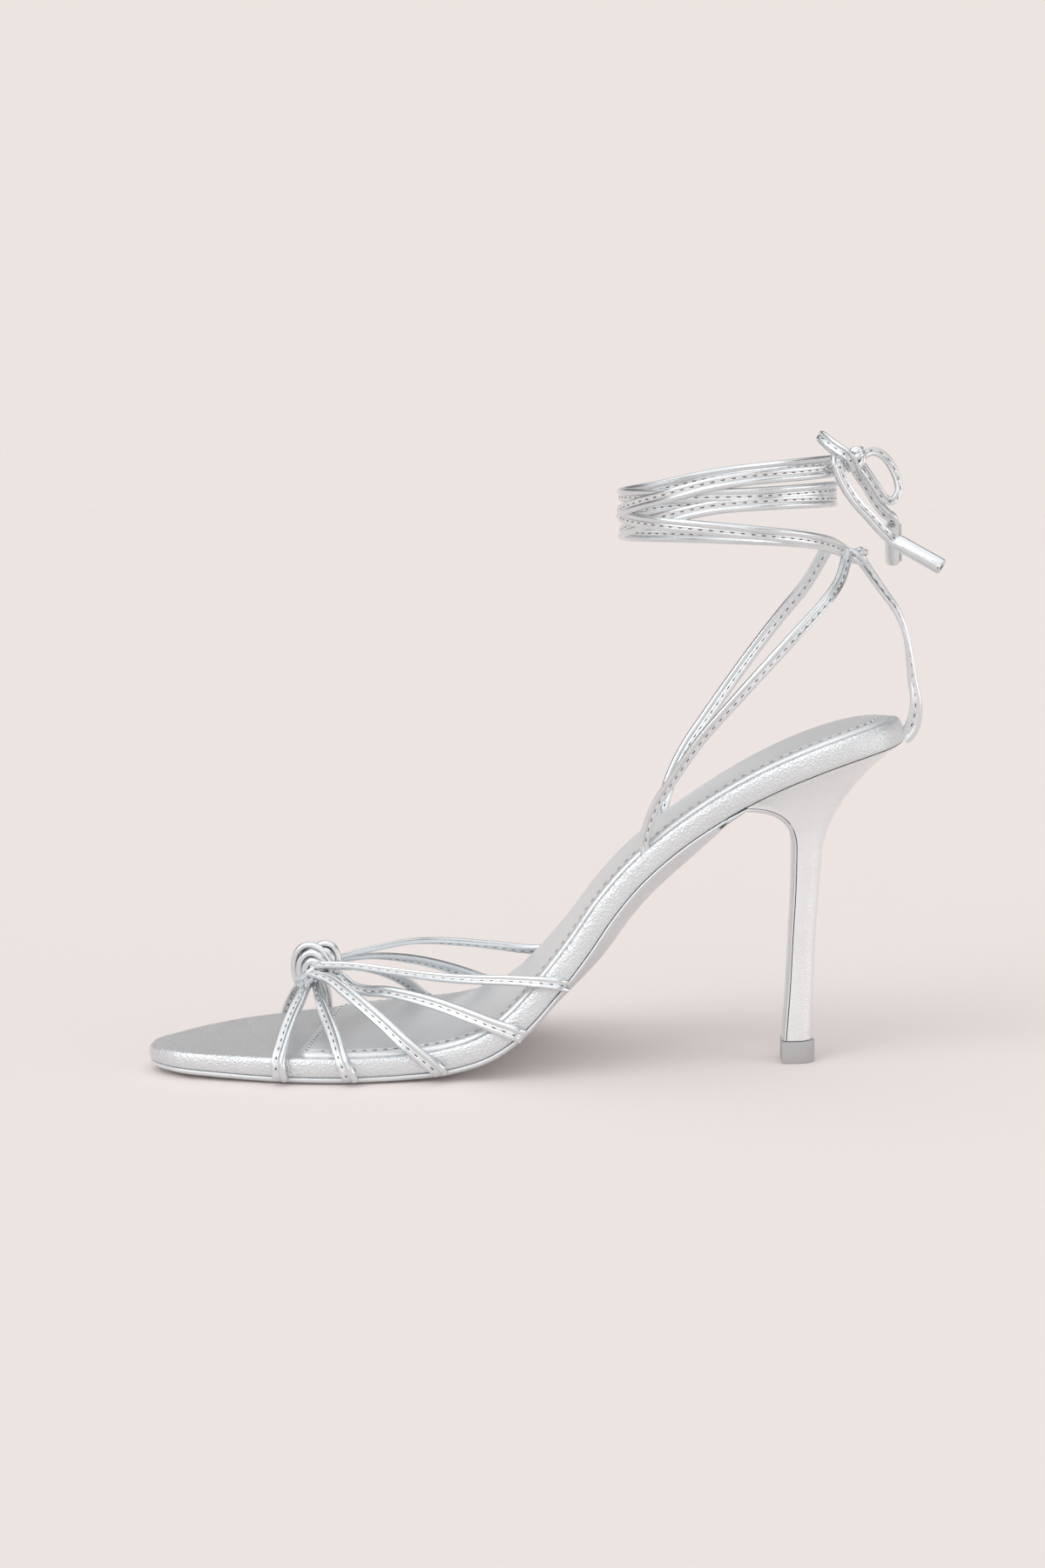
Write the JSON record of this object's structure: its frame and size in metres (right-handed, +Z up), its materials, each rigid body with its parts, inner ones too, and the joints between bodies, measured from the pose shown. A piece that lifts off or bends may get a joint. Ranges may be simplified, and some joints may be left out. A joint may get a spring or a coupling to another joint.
{
  "type": "lace up heeled sandal",
  "caption": "Open lace up sandal on a slim high heel, with knotted thin straps over the toes and long straps wound round the ankle and tied behind it.",
  "frame": {"origin": "centre of the forefoot's flat tread, on the floor", "axes": "+X from the toe to the heel, +Y towards the outer side of the foot, +Z up"},
  "size_m": [0.2229, 0.0867, 0.1816],
  "materials": {
    "strap_leather": "silver metallic leather, satin, fine grain",
    "band_leather": "silver metallic leather, satin, fine grain",
    "heel_leather": "silver metallic leather stretched over a moulded heel, satin",
    "sock_leather": "smooth pale metallic leather, soft sheen",
    "outsole_leather": "thin silver sole, satin",
    "top_lift": "grey moulded heel tip, matt"
  },
  "bodies": {
    "root": {"footbed": "band_leather", "sock": "sock_leather", "heel": "heel_leather", "top_lift": "top_lift", "outsole": "outsole_leather", "vamp": "strap_leather", "ankle_strap_inner": "strap_leather", "ankle_strap_outer": "strap_leather", "heel_strap": "strap_leather", "ankle_laces": "strap_leather", "bow_knot": "strap_leather", "bow_loop_upper": "strap_leather", "bow_loop_rear": "strap_leather", "lace_end_inner": "strap_leather", "lace_end_outer": "strap_leather", "lace_tip_inner": "strap_leather", "lace_tip_outer": "strap_leather"}
  },
  "joints": []
}
